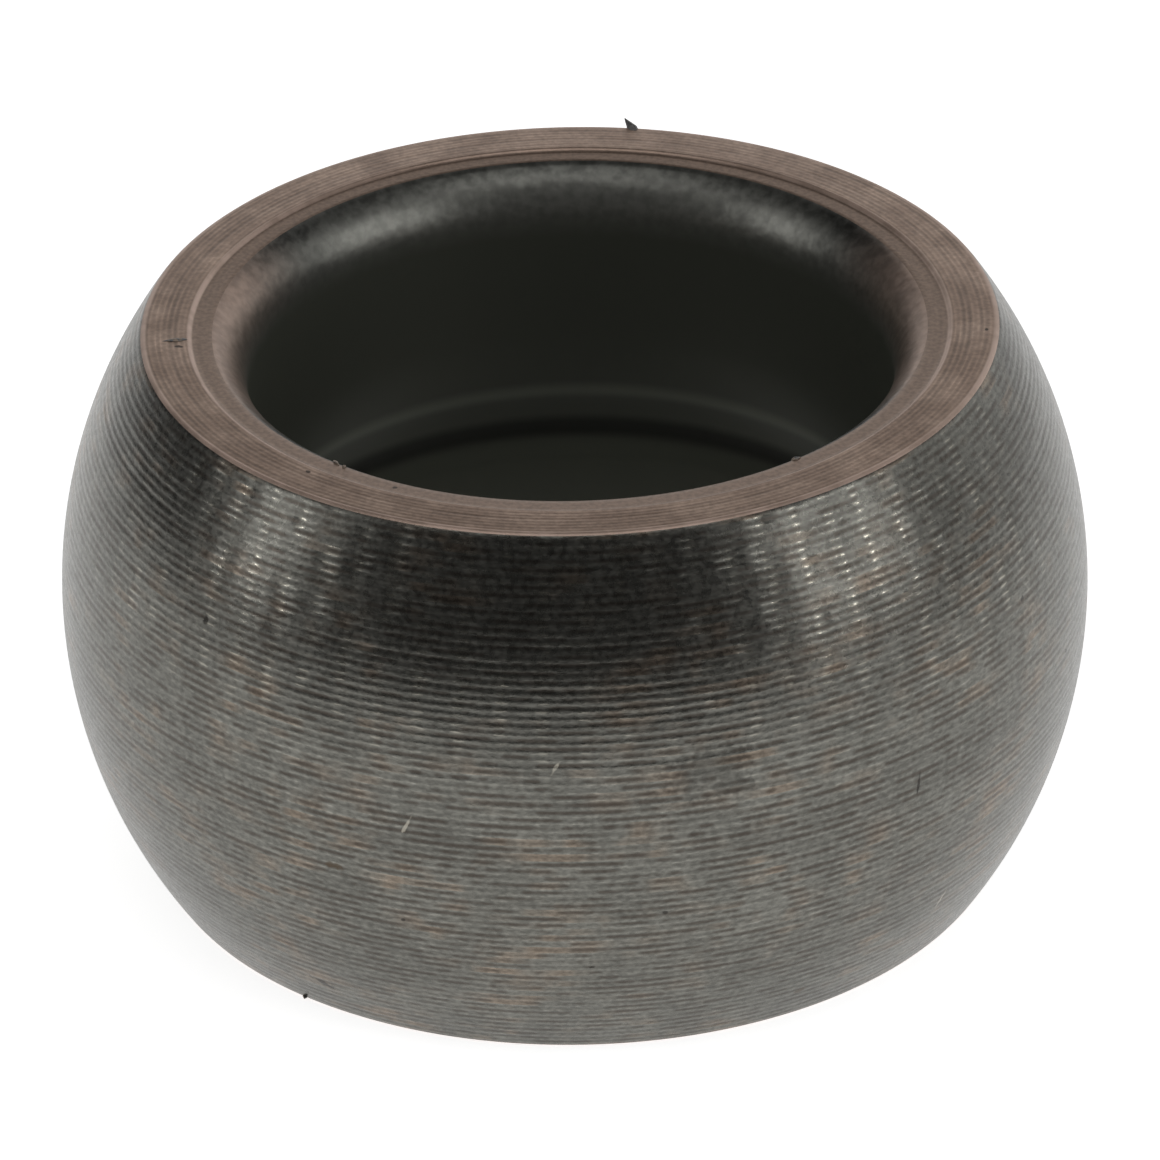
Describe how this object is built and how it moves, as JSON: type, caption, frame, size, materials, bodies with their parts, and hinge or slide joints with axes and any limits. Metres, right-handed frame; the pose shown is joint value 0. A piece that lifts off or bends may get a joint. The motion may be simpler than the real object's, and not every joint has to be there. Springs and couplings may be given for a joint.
{
  "type": "spherical bushing",
  "caption": "Turned steel ring with a ball-shaped outside, flat end faces and a through bore with rounded mouths.",
  "frame": {"origin": "centre of the ball surface, on the bore axis, half-way between the two end faces", "axes": "+Z along the bore axis, out of the upper end face; X and Y are free, because the part is turned"},
  "size_m": [0.016, 0.016, 0.009],
  "materials": {
    "steel": "turned, with fine lathe grooves and a light brown oxide on the end faces"
  },
  "bodies": {
    "root": {"bushing": "steel"}
  },
  "joints": []
}
